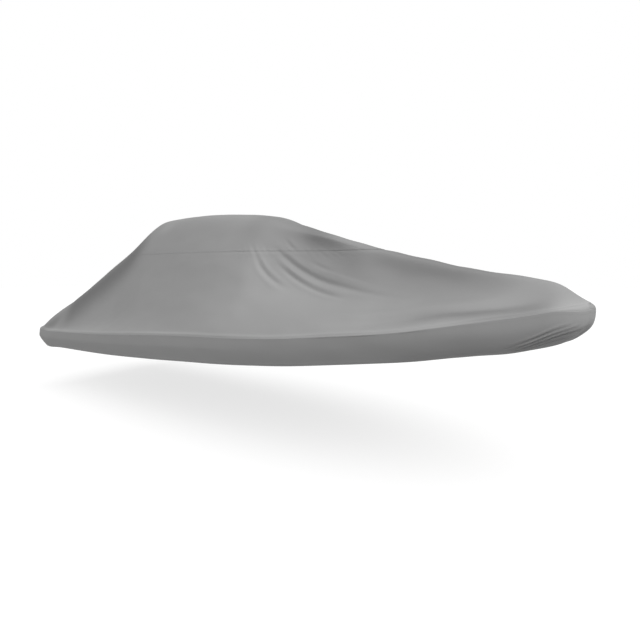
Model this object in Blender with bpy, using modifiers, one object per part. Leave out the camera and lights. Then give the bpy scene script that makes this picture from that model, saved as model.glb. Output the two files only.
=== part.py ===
"""Fitted outdoor cover of coated grey cloth, as it hangs over a long hull with a raised top.

The cover is a hollow shell of three sewn pieces: a crown panel over the raised top, a deck
panel from the crown's seam down to the gunwale crease, and a skirt band under that crease.
Lengths are metres. The tables measure x forward from the stern edge and z up from the floor,
with y to port; the finished pieces are moved so that the mount, under the crown, is the origin.
"""

import bmesh
import bpy
import numpy as np

CLOTH = 0.002
SEAM_GAP = 0.0003
LENGTH = 8.27
SEAM_HEIGHT = 2.34
MOUNT_FROM_STERN = 3.4

# The roll of cloth that turns the deck panel down into the skirt, and the plan's round ends.
ROLL_OUT = 0.007
ROLL_TURN = 0.004
ROLL_DOWN = 0.012
CREASE_GAP = 0.0006
CORNER_RADIUS = 0.10
NOSE_LENGTH = 0.32

# How the height of the top is shaped between its centreline and the gunwale crease.
TOP_DROP = 0.035
TOP_WIDTH = 0.42
TOP_SHARE_MOST = 0.97
FULL_RISE = 0.60
BELL_POWER = 4.0
EDGE_POWER = 8
PORT_SAG = 0.85

# One row for each cross-section: distance from the stern, half-breadth at the gunwale crease,
# height of that crease, height of the ridge, half-width of the top before it turns down,
# roundness of that turn, sag of the side below a straight line, and where on the side
# (0 at the top, 1 at the crease) the sag is deepest.
SECTION_COLUMNS = ("x", "beam", "sheer", "ridge", "top", "round", "sag", "knee")
SECTIONS = (
    (0.00, 1.26, 1.030, 1.070, 1.14, 0.10, 0.00, 0.60),
    (0.15, 1.26, 1.040, 1.215, 1.15, 0.08, 0.02, 0.60),
    (0.30, 1.26, 1.050, 1.340, 1.12, 0.08, 0.05, 0.60),
    (0.60, 1.25, 1.066, 1.580, 1.01, 0.11, 0.10, 0.62),
    (1.30, 1.25, 1.096, 2.106, 0.77, 0.16, 0.17, 0.63),
    (1.95, 1.26, 1.132, 2.549, 0.58, 0.15, 0.22, 0.62),
    (2.35, 1.27, 1.160, 2.820, 0.48, 0.10, 0.19, 0.64),
    (2.60, 1.27, 1.178, 2.905, 0.44, 0.08, 0.15, 0.66),
    (3.30, 1.27, 1.234, 2.926, 0.42, 0.07, 0.09, 0.70),
    (4.00, 1.26, 1.282, 2.893, 0.42, 0.07, 0.07, 0.66),
    (4.60, 1.24, 1.311, 2.822, 0.38, 0.07, 0.12, 0.55),
    (4.95, 1.22, 1.329, 2.704, 0.26, 0.06, 0.20, 0.40),
    (5.50, 1.18, 1.371, 2.550, 0.12, 0.05, 0.26, 0.32),
    (6.10, 1.09, 1.436, 2.372, 0.10, 0.05, 0.21, 0.32),
    (6.70, 0.95, 1.503, 2.242, 0.08, 0.05, 0.17, 0.32),
    (7.30, 0.71, 1.606, 2.104, 0.08, 0.05, 0.10, 0.34),
    (7.75, 0.47, 1.686, 2.022, 0.08, 0.05, 0.05, 0.40),
    (8.00, 0.33, 1.738, 1.956, 0.08, 0.05, 0.02, 0.46),
    (8.15, 0.25, 1.765, 1.842, 0.07, 0.04, 0.01, 0.50),
    (8.27, 0.16, 1.785, 1.785, 0.04, 0.02, 0.00, 0.50),
)

# One row for each part of the hem, by the gunwale point above it: how far the hem lies
# inward, aft and below that point.
HEM_COLUMNS = ("x", "inward", "aft", "drop")
HEM = (
    (0.00, 0.05, -0.05, 0.275),
    (0.60, 0.05, -0.01, 0.285),
    (1.60, 0.05, 0.00, 0.305),
    (2.60, 0.05, 0.00, 0.325),
    (3.60, 0.05, 0.00, 0.340),
    (4.40, 0.05, 0.00, 0.332),
    (5.30, 0.06, 0.00, 0.312),
    (6.50, 0.10, 0.03, 0.308),
    (7.10, 0.13, 0.12, 0.362),
    (7.60, 0.12, 0.25, 0.388),
    (7.95, 0.09, 0.36, 0.400),
    (8.15, 0.07, 0.44, 0.412),
    (8.27, 0.00, 0.51, 0.428),
)

# One row for each main trough of the top: plan position of its start, middle and end, how deep
# it is and its half-width. A negative depth is a ridge.
FOLD_COLUMNS = ("x0", "y0", "x1", "y1", "x2", "y2", "depth", "width")
FOLDS = (
    (4.85, -0.50, 5.75, -0.38, 6.78, -0.38, 0.045, 0.065),
    (5.00, -0.36, 5.65, -0.29, 6.50, -0.28, -0.018, 0.060),
    (4.75, -0.57, 5.50, -0.47, 6.10, -0.50, 0.028, 0.060),
    (4.62, -0.66, 4.86, -0.62, 5.10, -0.59, 0.018, 0.060),
    (6.20, -0.92, 7.10, -0.60, 8.05, -0.18, 0.020, 0.070),
    (5.15, -0.16, 5.65, -0.17, 6.25, -0.19, 0.035, 0.100),
    (4.88, 0.46, 5.75, 0.40, 6.60, 0.40, 0.040, 0.070),
    (4.80, 0.62, 5.45, 0.56, 6.00, 0.54, 0.022, 0.065),
    (6.15, 0.93, 7.10, 0.62, 8.05, 0.19, 0.018, 0.070),
    (5.20, 0.15, 5.70, 0.17, 6.30, 0.20, 0.028, 0.100),
)

# One row for each gather of the skirt under the bow: the gunwale points above its lower and
# upper ends, where on the skirt (0 at the crease, 1 at the hem) they lie, and its depth.
GATHER_COLUMNS = ("side", "x_low", "t_low", "x_high", "t_high", "depth")
GATHERS = (
    (-1, 7.80, 0.98, 8.22, 0.45, 0.010),
    (-1, 7.93, 1.02, 8.24, 0.62, 0.012),
    (1, 7.76, 0.98, 8.20, 0.50, 0.011),
    (1, 7.95, 1.04, 8.24, 0.68, 0.010),
)
GATHER_WIDTH = 0.07
FOLD_FADE = 0.7

# Spacing of the cross-sections over each stretch of the length: where it ends, and the step.
STRETCHES = ((0.10, 0.05), (0.46, 0.12), (4.40, 0.19), (6.90, 0.125), (7.95, 0.12), (8.27, 0.055))
HALF_COLUMNS = 13
GIRTH_STEPS = 400
SKIRT_ROWS = 6

# The skirt hangs upright to its break and is then tucked in. Towards the bow this turns into
# one round sweep under the hull, and at both ends the band bulges more.
HEM_BREAK = 0.45
BOW_ROUND = 0.8
BOW_SWEEP = (6.3, 7.9)
BULGE = 0.010
END_BULGE = 0.018
STERN_END = (0.0, 0.8)
BOW_END = (7.6, 8.2)

# The boxes that cut the top at its seam reach this far past it.
CUTTER_MARGIN = 0.5
HIGHEST = 3.0
TINY = 1e-6

GREY = (0.26, 0.26, 0.26, 1.0)
MATT = 0.65


def column(table, names, name):
    """One named column of a table."""
    return np.array([row[names.index(name)] for row in table], float)


def along(table, names, name, x):
    """A column of a table at x, by a cubic that never overshoots its rows."""
    knots, values = column(table, names, "x"), column(table, names, name)
    step = np.diff(knots)
    slope = np.diff(values) / step
    tangent = np.concatenate([slope[:1], np.zeros(len(knots) - 2), slope[-1:]])
    before, after = 2 * step[1:] + step[:-1], step[1:] + 2 * step[:-1]
    rising = slope[:-1] * slope[1:] > 0
    harmonic = before / np.where(rising, slope[:-1], 1) + after / np.where(rising, slope[1:], 1)
    tangent[1:-1] = np.where(rising, (before + after) / np.where(rising, harmonic, 1), 0)
    i = np.clip(np.searchsorted(knots, x) - 1, 0, len(step) - 1)
    t = (x - knots[i]) / step[i]
    ends = values[i] * (1 + 2 * t) * (1 - t) ** 2 + values[i + 1] * t * t * (3 - 2 * t)
    return ends + step[i] * (tangent[i] * t * (1 - t) ** 2 + tangent[i + 1] * t * t * (t - 1))


def section(name, x):
    """A column of the table of cross-sections at x."""
    return along(SECTIONS, SECTION_COLUMNS, name, x)


def smooth_step(low, high, x):
    """0 below low, 1 above high and an even S between them."""
    t = np.clip((x - low) / (high - low), 0, 1)
    return t * t * (3 - 2 * t)


def half_beam(x):
    """Half-breadth of the plan at the crease, with round stern corners and a round nose."""
    into_corner = np.clip(CORNER_RADIUS - x, 0, CORNER_RADIUS)
    corner = np.sqrt(CORNER_RADIUS**2 - into_corner**2) - CORNER_RADIUS
    into_nose = np.clip((x - LENGTH + NOSE_LENGTH) / NOSE_LENGTH, 0, 1)
    return (section("beam", x) + corner) * np.sqrt(1 - into_nose**2)


def fold_relief(x, y):
    """Depth of the troughs at each plan point: a bell across each fold, fading at its ends."""
    total = np.zeros(np.broadcast(x, y).shape)
    for row in FOLDS:
        fold = dict(zip(FOLD_COLUMNS, row))
        length, shift = fold["x2"] - fold["x0"], fold["y2"] - fold["y0"]
        t = (x - fold["x0"]) / length
        middle = (fold["x1"] - fold["x0"]) / length
        bend = (fold["y1"] - fold["y0"] - shift * middle) / (middle * (1 - middle))
        centre = fold["y0"] + shift * t + bend * t * (1 - t)
        fade = np.sin(np.pi * np.clip(t, 0, 1)) ** FOLD_FADE
        total = total + fold["depth"] * fade * np.exp(-(((y - centre) / fold["width"]) ** 2))
    return total


def top_height(x, y):
    """Height of the top: the lower of a cambered top and a sagging side, softly joined."""
    beam, sheer, ridge = half_beam(x), section("sheer", x), section("ridge", x)
    flat = np.minimum(section("top", x), TOP_SHARE_MOST * beam)
    out = np.abs(y)
    camber = TOP_DROP / np.maximum(flat, TOP_WIDTH) ** 2
    top = ridge - camber * out**2
    u = (out - flat) / np.maximum(beam - flat, TINY)
    on_side = np.clip(u, 0, 1)
    knee = section("knee", x)
    bell = (on_side / knee) ** (BELL_POWER * knee)
    bell = bell * ((1 - on_side) / (1 - knee)) ** (BELL_POWER * (1 - knee))
    shoulder = ridge - camber * flat**2
    sag = section("sag", x) * np.where(y > 0, PORT_SAG, 1.0)
    side = shoulder + (sheer - shoulder) * u - sag * bell
    rise = np.clip((ridge - sheer) / FULL_RISE, 0, 1)
    softness = 2 * section("round", x) * rise**2
    height = 0.5 * (top + side - np.hypot(top - side, softness))
    top_at_edge = ridge - camber * beam**2
    edge_error = sheer - 0.5 * (top_at_edge + sheer - np.hypot(top_at_edge - sheer, softness))
    edge = np.clip(out / np.maximum(beam, TINY), 0, 1) ** EDGE_POWER
    return height + edge_error * edge - fold_relief(x, y) * rise * (1 - edge)


def cross_section_places():
    """Distances from the stern of the loft's cross-sections."""
    places, start = [0.0], 0.0
    for end, step in STRETCHES:
        count = max(1, round((end - start) / step))
        places.extend(np.linspace(start, end, count + 1)[1:])
        start = end
    return np.array(places)


def top_points():
    """Grid of points over the top, stern to bow by starboard to port, evenly spaced in girth."""
    x = cross_section_places()[:, None]
    fine = np.linspace(-1, 1, GIRTH_STEPS + 1)[None, :]
    y = half_beam(x) * fine
    z = top_height(x, y)
    girth = np.cumsum(np.hypot(np.diff(y, axis=1), np.diff(z, axis=1)), axis=1)
    girth = np.concatenate([np.zeros_like(x), girth], axis=1)
    middle = GIRTH_STEPS // 2
    share = np.empty((len(x), 2 * HALF_COLUMNS + 1))
    steps = np.linspace(0, 1, HALF_COLUMNS + 1)
    for row in range(len(x)):
        to_ridge, whole = girth[row, middle], girth[row, -1]
        wanted = np.concatenate([to_ridge * steps, to_ridge + (whole - to_ridge) * steps[1:]])
        even = np.linspace(-1, 1, len(wanted))
        share[row] = np.interp(wanted, girth[row], fine[0]) if whole > TINY else even
    y = half_beam(x) * share
    return np.stack([np.broadcast_to(x, y.shape), y, top_height(x, y)], axis=-1)


def crease_indices(rows, columns):
    """Grid indices of the gunwale crease: up the starboard side, down the port side, across."""
    starboard = [(row, 0) for row in range(rows)]
    port = [(row, columns - 1) for row in range(rows - 2, -1, -1)]
    stern = [(0, place) for place in range(columns - 2, 0, -1)]
    return np.array(starboard + port + stern)


def outward(loop):
    """Level unit vectors that point out of a closed loop that runs anticlockwise from above."""
    tangent = np.roll(loop, -1, axis=0) - np.roll(loop, 1, axis=0)
    normal = np.stack([tangent[:, 1], -tangent[:, 0], np.zeros(len(loop))], axis=1)
    return normal / np.linalg.norm(normal, axis=1, keepdims=True)


def ring_faces(rings):
    """Quads between neighbouring closed rings of points, each an array of indices."""
    faces = []
    for upper, lower in zip(rings[:-1], rings[1:]):
        after_upper, after_lower = np.roll(upper, -1), np.roll(lower, -1)
        faces.extend(np.stack([upper, lower, after_lower, after_upper], axis=1).tolist())
    return faces


def deck_surface():
    """The whole top from gunwale to gunwale, and the roll of cloth round its edge."""
    points = top_points()
    rows, columns = points.shape[:2]
    number = np.arange(rows * columns).reshape(rows, columns)
    grid = [number[:-1, :-1], number[1:, :-1], number[1:, 1:], number[:-1, 1:]]
    faces = np.stack(grid, axis=-1).reshape(-1, 4).tolist()
    where = crease_indices(rows, columns)
    crease = points[where[:, 0], where[:, 1]]
    out = outward(crease)
    half_way = crease + out * ROLL_OUT - [0, 0, ROLL_TURN]
    edge = crease + out * ROLL_OUT - [0, 0, ROLL_DOWN]
    first = number[where[:, 0], where[:, 1]]
    count = len(first)
    second = rows * columns + np.arange(count)
    faces += ring_faces([first, second, second + count])
    return np.concatenate([points.reshape(-1, 3), half_way, edge]), faces


def gather_relief(crease, t):
    """Depth of the bow gathers at each gunwale point and share of the skirt's depth."""
    total = np.zeros(np.broadcast(crease[:, :1], t).shape)
    for row in GATHERS:
        gather = dict(zip(GATHER_COLUMNS, row))
        share = (crease[:, :1] - gather["x_low"]) / (gather["x_high"] - gather["x_low"])
        centre = gather["t_low"] + (gather["t_high"] - gather["t_low"]) * share
        fade = np.sin(np.pi * np.clip(share, 0, 1))
        on_side = crease[:, 1:2] * gather["side"] > 0
        bell = np.exp(-(((t - centre) / GATHER_WIDTH) ** 2))
        total = total + gather["depth"] * fade * on_side * bell
    return total


def skirt_surface():
    """The band below the crease: upright at first, then tucked in; wrapped under at the bow."""
    points = top_points()
    where = crease_indices(*points.shape[:2])
    crease = points[where[:, 0], where[:, 1]]
    out = outward(crease)
    x = crease[:, 0]
    inward = along(HEM, HEM_COLUMNS, "inward", x)
    aft = along(HEM, HEM_COLUMNS, "aft", x)
    drop = along(HEM, HEM_COLUMNS, "drop", x)
    across = -np.minimum(inward / np.maximum(np.abs(crease[:, 1]), TINY), 1) * crease[:, 1]
    towards_hem = np.stack([-aft, across, np.zeros_like(x)], axis=1)
    bow = smooth_step(*BOW_SWEEP, x)[:, None]
    t = np.linspace(0, 1, SKIRT_ROWS)[None, :]
    tuck = np.clip((t - HEM_BREAK) / (1 - HEM_BREAK), 0, 1)
    angle = 0.5 * np.pi * t
    level = (1 - bow) * tuck + bow * (1 - np.abs(np.cos(angle)) ** BOW_ROUND)
    down = (1 - bow) * t + bow * np.sin(angle) ** BOW_ROUND
    ends = (1 - smooth_step(*STERN_END, x) + smooth_step(*BOW_END, x))[:, None]
    bulge = (BULGE + END_BULGE * ends) * np.sin(np.pi * t)
    start = crease + out * ROLL_OUT - [0, 0, ROLL_DOWN + CREASE_GAP]
    rows = start[:, None, :] + level[..., None] * towards_hem[:, None, :]
    rows[..., 2] -= down * (drop - ROLL_DOWN)[:, None]
    rows += (bulge - gather_relief(crease, t))[..., None] * out[:, None, :]
    count = len(crease)
    rings = [row * count + np.arange(count) for row in range(SKIRT_ROWS)]
    return rows.transpose(1, 0, 2).reshape(-1, 3), ring_faces(rings)


def cloth_material(name):
    """Grey coated cloth, matt."""
    material = bpy.data.materials.new(name)
    material.use_nodes = True
    shader = material.node_tree.nodes["Principled BSDF"]
    shader.inputs["Base Color"].default_value = GREY
    shader.inputs["Roughness"].default_value = MATT
    shader.inputs["Metallic"].default_value = 0.0
    return material


def cloth_object(name, surface, collection, material):
    """An open surface given the cloth's thickness inwards, moved so that the mount is at 0."""
    points, faces = surface
    mount = np.array([MOUNT_FROM_STERN, 0.0, top_height(MOUNT_FROM_STERN, 0.0) - CLOTH])
    mesh = bpy.data.meshes.new(name)
    mesh.from_pydata((points - mount).tolist(), [], faces)
    shape = bmesh.new()
    shape.from_mesh(mesh)
    bmesh.ops.remove_doubles(shape, verts=shape.verts, dist=TINY)
    shape.to_mesh(mesh)
    shape.free()
    mesh.shade_smooth()
    mesh.materials.append(material)
    piece = bpy.data.objects.new(name, mesh)
    collection.objects.link(piece)
    thickness = piece.modifiers.new("cloth thickness", "SOLIDIFY")
    thickness.thickness = CLOTH
    thickness.offset = -1
    thickness.use_even_offset = True
    return piece


def even_shading(piece):
    """Shading normals that follow the large faces, so that a cut edge doesn't darken them."""
    normals = piece.modifiers.new("even shading", "WEIGHTED_NORMAL")
    normals.mode = "FACE_AREA"


def cutting_box(name, low, high, collection):
    """A hidden box over the whole plan, between two heights above the floor."""
    lift = top_height(MOUNT_FROM_STERN, 0.0) - CLOTH
    bpy.ops.mesh.primitive_cube_add(size=1)
    box = bpy.context.object
    box.name = name
    box.location = (LENGTH / 2 - MOUNT_FROM_STERN, 0, (low + high) / 2 - lift)
    box.scale = (LENGTH + 2 * CUTTER_MARGIN, LENGTH / 2, high - low)
    box.hide_render = True
    box.display_type = "WIRE"
    for owner in list(box.users_collection):
        owner.objects.unlink(box)
    collection.objects.link(box)
    return box


def cut_away(piece, box):
    """Removes from a piece all that lies in a box."""
    cut = piece.modifiers.new("seam cut", "BOOLEAN")
    cut.operation = "DIFFERENCE"
    cut.solver = "EXACT"
    cut.object = box


def main():
    for old in list(bpy.data.objects):
        bpy.data.objects.remove(old)
    cover = bpy.data.collections.new("boat_cover")
    cutters = bpy.data.collections.new("seam_cutters")
    bpy.context.scene.collection.children.link(cover)
    bpy.context.scene.collection.children.link(cutters)

    top = deck_surface()
    crown = cloth_object("crown_panel", top, cover, cloth_material("crown_cloth"))
    deck = cloth_object("deck_panel", top, cover, cloth_material("deck_cloth"))
    cloth_object("skirt_band", skirt_surface(), cover, cloth_material("skirt_cloth"))

    half_gap = SEAM_GAP / 2
    below = cutting_box("below_seam", 0, SEAM_HEIGHT + half_gap, cutters)
    above = cutting_box("above_seam", SEAM_HEIGHT - half_gap, HIGHEST, cutters)
    cut_away(crown, below)
    cut_away(deck, above)
    for piece in cover.objects:
        even_shading(piece)


main()
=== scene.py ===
"""A fitted grey boat cover as it looks in use: long, raised in its after half and tucked in below.

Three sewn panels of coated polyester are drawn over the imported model: the crown over the raised
top, the deck panel from the crown's seam down to the gunwale crease, and the skirt band below.
Lengths are metres. Shapes are worked out with x forward from the stern, y to port and z up from
the floor, and are then moved so that the mount under the crown is the origin, as in the model.
"""

import logging
import math
from collections.abc import Callable, Iterator
from contextlib import contextmanager
from dataclasses import dataclass, field, fields
from enum import Enum

import bmesh
import bpy
import numpy as np
from bmesh.types import BMesh
from bpy.types import Material, Mesh, Node, NodeSocket, Object
from mathutils import Matrix, Vector


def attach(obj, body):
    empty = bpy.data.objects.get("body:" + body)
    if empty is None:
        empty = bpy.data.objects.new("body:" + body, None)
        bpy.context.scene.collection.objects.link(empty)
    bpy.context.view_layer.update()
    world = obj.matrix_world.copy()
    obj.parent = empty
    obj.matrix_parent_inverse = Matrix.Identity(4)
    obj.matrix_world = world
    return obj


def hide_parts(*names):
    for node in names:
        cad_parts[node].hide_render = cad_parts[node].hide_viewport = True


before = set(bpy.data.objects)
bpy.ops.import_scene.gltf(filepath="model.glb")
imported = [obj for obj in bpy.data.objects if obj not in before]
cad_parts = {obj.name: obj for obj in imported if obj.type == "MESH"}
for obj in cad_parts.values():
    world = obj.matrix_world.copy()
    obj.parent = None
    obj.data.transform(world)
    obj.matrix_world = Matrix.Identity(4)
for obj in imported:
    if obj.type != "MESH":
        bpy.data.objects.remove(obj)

Array = np.ndarray
LOG = logging.getLogger("boat_cover")
BODY = "root"
FLAT_MAP = "flat_cloth"
# The attribute that carries painted shade and painted highlights on the cloth's colour.
PAINTED_SHADING_MAP = "wear"
TINY = 1e-6

# The cloth's thickness in the model and here.
CAD_CLOTH = 0.002
CLOTH = 0.001

# Vertices nearer than this are joined, where a mesh is cut and where two surfaces meet.
CUT_MERGE = 0.0004
WELD_MERGE = 0.0001

# An uneven field: its waves' lengths as shares of the mean, and its usual peak.
RIPPLE_SPREAD = (0.7, 1.5)
RIPPLE_PEAK = 1.6

# How much the crown's seam shows aft, and the stretch over which it comes to show fully.
STRAIN_AFT = 0.12
STRAIN_RISES = (3.7, 4.8)


class Side(Enum):
    """A side of the cover, as the sign of y there."""

    STARBOARD = -1
    PORT = 1


@dataclass(frozen=True)
class Station:
    """One cross-section of the top: where it is and its main sizes."""

    x: float
    beam: float
    sheer: float
    ridge: float
    top: float
    roundness: float
    sag: float
    knee: float


@dataclass(frozen=True)
class HemPlace:
    """Where the hem lies, measured inward, aft and down from the gunwale point above it."""

    x: float
    inward: float
    aft: float
    drop: float


@dataclass(frozen=True)
class Fold:
    """A trough or, with a negative depth, a ridge of the top.

    The path runs through places (x, down), where down is 0 at the ridge and 1 at the crease.
    Width is the half-width, lean makes the upper flank steeper than the lower one, lips are the
    ridges beside a trough as a share of its depth, and ends are the shares of the path over
    which it fades in and out.
    """

    side: Side
    path: tuple[tuple[float, float], ...]
    depth: float
    width: float
    lean: float = 0.0
    lips: float = 0.0
    ends: tuple[float, float] = (0.35, 0.45)


@dataclass(frozen=True)
class Gather:
    """A gather of the skirt: places (x of the gunwale point above, share of the depth).

    It fades at both ends of its path, so one whose path runs on past the tip is whole there.
    The width is a share of the depth too, and lips are the ridges beside it. A negative depth
    is a ridge.
    """

    side: Side
    path: tuple[tuple[float, float], ...]
    depth: float
    width: float
    lips: float


@dataclass(frozen=True)
class PaintedBand:
    """A band on both sides darkened by painted shade or, with a negative depth, lightened by a painted
    highlight.

    It lies along a path as a fold does, and its depth is the share of the colour lost there.
    """

    path: tuple[tuple[float, float], ...]
    depth: float
    width: float
    ends: tuple[float, float]

    def on(self, side: Side) -> Fold:
        """The band on one side, in the measures of a fold."""
        return Fold(side, self.path, self.depth, self.width, ends=self.ends)


STATIONS = (
    Station(0.00, 1.26, 1.095, 1.150, 1.14, 0.10, 0.00, 0.60),
    Station(0.15, 1.26, 1.070, 1.240, 1.15, 0.08, 0.02, 0.60),
    Station(0.30, 1.26, 1.056, 1.345, 1.12, 0.08, 0.05, 0.60),
    Station(0.60, 1.25, 1.066, 1.580, 1.01, 0.11, 0.10, 0.62),
    Station(1.30, 1.25, 1.096, 2.106, 0.77, 0.16, 0.17, 0.63),
    Station(1.95, 1.26, 1.132, 2.549, 0.58, 0.15, 0.22, 0.62),
    Station(2.35, 1.27, 1.160, 2.820, 0.48, 0.10, 0.19, 0.64),
    Station(2.60, 1.27, 1.178, 2.905, 0.44, 0.08, 0.15, 0.66),
    Station(3.30, 1.27, 1.234, 2.926, 0.42, 0.07, 0.09, 0.70),
    Station(4.00, 1.26, 1.282, 2.893, 0.42, 0.07, 0.07, 0.66),
    Station(4.60, 1.24, 1.311, 2.822, 0.38, 0.07, 0.12, 0.55),
    Station(4.95, 1.22, 1.329, 2.704, 0.26, 0.06, 0.20, 0.40),
    Station(5.50, 1.18, 1.371, 2.550, 0.12, 0.05, 0.26, 0.32),
    Station(6.10, 1.09, 1.436, 2.372, 0.10, 0.05, 0.21, 0.32),
    Station(6.70, 0.95, 1.503, 2.242, 0.08, 0.05, 0.17, 0.32),
    Station(7.30, 0.71, 1.606, 2.104, 0.08, 0.05, 0.10, 0.34),
    Station(7.75, 0.47, 1.686, 2.022, 0.08, 0.05, 0.05, 0.40),
    Station(8.00, 0.33, 1.738, 1.956, 0.08, 0.05, 0.02, 0.46),
    Station(8.15, 0.25, 1.765, 1.842, 0.07, 0.04, 0.01, 0.50),
    Station(8.26, 0.17, 1.785, 1.787, 0.04, 0.02, 0.00, 0.50),
)

HEM = (
    HemPlace(0.00, 0.05, -0.13, 0.318),
    HemPlace(0.25, 0.05, -0.06, 0.298),
    HemPlace(0.60, 0.05, -0.01, 0.286),
    HemPlace(1.60, 0.05, 0.00, 0.305),
    HemPlace(2.60, 0.05, 0.00, 0.325),
    HemPlace(3.60, 0.05, 0.00, 0.340),
    HemPlace(4.40, 0.05, 0.00, 0.332),
    HemPlace(5.30, 0.06, 0.00, 0.312),
    HemPlace(6.50, 0.10, 0.03, 0.308),
    HemPlace(7.10, 0.15, 0.12, 0.348),
    HemPlace(7.60, 0.14, 0.25, 0.382),
    HemPlace(7.95, 0.09, 0.36, 0.412),
    HemPlace(8.15, 0.06, 0.44, 0.412),
    HemPlace(8.26, 0.00, 0.51, 0.402),
)

FOLDS = (
    Fold(
        Side.STARBOARD,
        (
            (4.80, 0.31), (4.98, 0.34), (5.23, 0.38), (5.55, 0.415), (5.87, 0.437), (6.35, 0.475),
            (6.95, 0.50),
        ),
        depth=0.016, width=0.036, lean=0.25, lips=0.50, ends=(0.18, 0.70),
    ),
    Fold(
        Side.STARBOARD, ((5.12, 0.305), (5.55, 0.34), (5.90, 0.365), (6.40, 0.405)),
        depth=-0.007, width=0.028, lean=0.20, ends=(0.40, 0.50),
    ),
    Fold(
        Side.STARBOARD,
        ((4.90, 0.40), (5.05, 0.43), (5.27, 0.468), (5.48, 0.497), (5.70, 0.523), (6.06, 0.555)),
        depth=0.012, width=0.028, lean=0.25, lips=0.60, ends=(0.30, 0.30),
    ),
    Fold(
        Side.STARBOARD,
        ((4.62, 0.38), (4.72, 0.44), (4.81, 0.485), (4.92, 0.517), (5.08, 0.545), (5.28, 0.56)),
        depth=0.011, width=0.034, lean=0.20, lips=0.60, ends=(0.30, 0.45),
    ),
    Fold(
        Side.STARBOARD, ((4.80, 0.22), (5.20, 0.18), (5.55, 0.155), (6.05, 0.17)),
        depth=0.056, width=0.180, lean=0.25, ends=(0.40, 0.45),
    ),
    Fold(
        Side.STARBOARD, ((5.85, 0.20), (6.60, 0.23), (7.30, 0.25), (7.80, 0.28)),
        depth=0.034, width=0.170, lean=0.20, ends=(0.35, 0.50),
    ),
    Fold(
        Side.STARBOARD, ((4.96, 0.23), (5.06, 0.255), (5.18, 0.275)),
        depth=0.008, width=0.024, lips=0.50, ends=(0.40, 0.50),
    ),
    Fold(
        Side.STARBOARD, ((5.30, 0.30), (5.48, 0.315), (5.70, 0.33)),
        depth=0.006, width=0.026, lips=0.40, ends=(0.40, 0.50),
    ),
    Fold(
        Side.STARBOARD,
        ((5.70, 0.86), (6.25, 0.88), (6.70, 0.84), (7.08, 0.77), (7.55, 0.70), (8.10, 0.62)),
        depth=0.022, width=0.075, lips=0.40, ends=(0.35, 0.25),
    ),
    Fold(
        Side.STARBOARD, ((0.40, 0.90), (0.94, 0.63), (1.72, 0.42), (2.25, 0.32), (2.50, 0.29)),
        depth=-0.034, width=0.270, ends=(0.20, 0.40),
    ),
    Fold(
        Side.PORT, ((4.84, 0.34), (5.20, 0.385), (5.60, 0.41), (6.10, 0.44), (6.75, 0.47)),
        depth=0.019, width=0.042, lean=0.25, lips=0.40, ends=(0.12, 0.45),
    ),
    Fold(
        Side.PORT, ((4.70, 0.42), (5.05, 0.475), (5.45, 0.52), (6.00, 0.56)),
        depth=0.012, width=0.038, lean=0.20, lips=0.45, ends=(0.20, 0.35),
    ),
    Fold(
        Side.PORT, ((4.85, 0.25), (5.35, 0.20), (5.80, 0.21), (6.50, 0.22)),
        depth=0.048, width=0.165, lean=0.25, ends=(0.35, 0.45),
    ),
    Fold(
        Side.PORT, ((5.95, 0.22), (6.65, 0.22), (7.30, 0.24), (7.75, 0.27)),
        depth=0.030, width=0.145, lean=0.20, ends=(0.35, 0.50),
    ),
    Fold(
        Side.PORT, ((5.80, 0.87), (6.50, 0.86), (7.10, 0.76), (7.60, 0.68), (8.05, 0.62)),
        depth=0.016, width=0.058, lips=0.50, ends=(0.35, 0.25),
    ),
    Fold(
        Side.PORT, ((0.40, 0.88), (0.95, 0.64), (1.70, 0.44), (2.25, 0.34), (2.50, 0.30)),
        depth=-0.032, width=0.260, ends=(0.20, 0.40),
    ),
)

BROAD_TROUGH = ((7.70, 0.60), (7.95, 0.52), (8.25, 0.42), (8.90, 0.42))

GATHERS = (
    Gather(Side.STARBOARD, ((7.68, 0.50), (7.83, 0.37), (7.96, 0.27), (8.12, 0.17)), 0.012, 0.020, 0.9),
    Gather(Side.STARBOARD, ((7.74, 0.56), (7.90, 0.41), (8.03, 0.29), (8.18, 0.19)), 0.014, 0.020, 0.9),
    Gather(Side.STARBOARD, ((7.80, 0.62), (7.94, 0.46), (8.08, 0.33), (8.25, 0.22)), 0.013, 0.020, 0.9),
    Gather(Side.STARBOARD, ((7.86, 0.66), (8.00, 0.52), (8.22, 0.36)), 0.009, 0.030, 0.6),
    Gather(Side.STARBOARD, ((7.88, 0.44), (8.01, 0.31), (8.12, 0.22), (8.25, 0.16)), -0.007, 0.020, 0.0),
    Gather(Side.STARBOARD, BROAD_TROUGH, 0.016, 0.150, 0.0),
    Gather(Side.PORT, ((7.66, 0.54), (7.80, 0.40), (7.94, 0.29), (8.08, 0.18)), 0.011, 0.022, 0.8),
    Gather(Side.PORT, ((7.75, 0.57), (7.92, 0.40), (8.06, 0.28), (8.22, 0.17)), 0.013, 0.020, 0.9),
    Gather(Side.PORT, ((7.84, 0.62), (8.01, 0.43), (8.24, 0.25)), 0.010, 0.024, 0.7),
    Gather(Side.PORT, BROAD_TROUGH, 0.016, 0.150, 0.0),
)

# Bands of painted shade (the first seven) and of painted highlight (the last two, with negative depths)
# on the cloth's colour.
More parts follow.
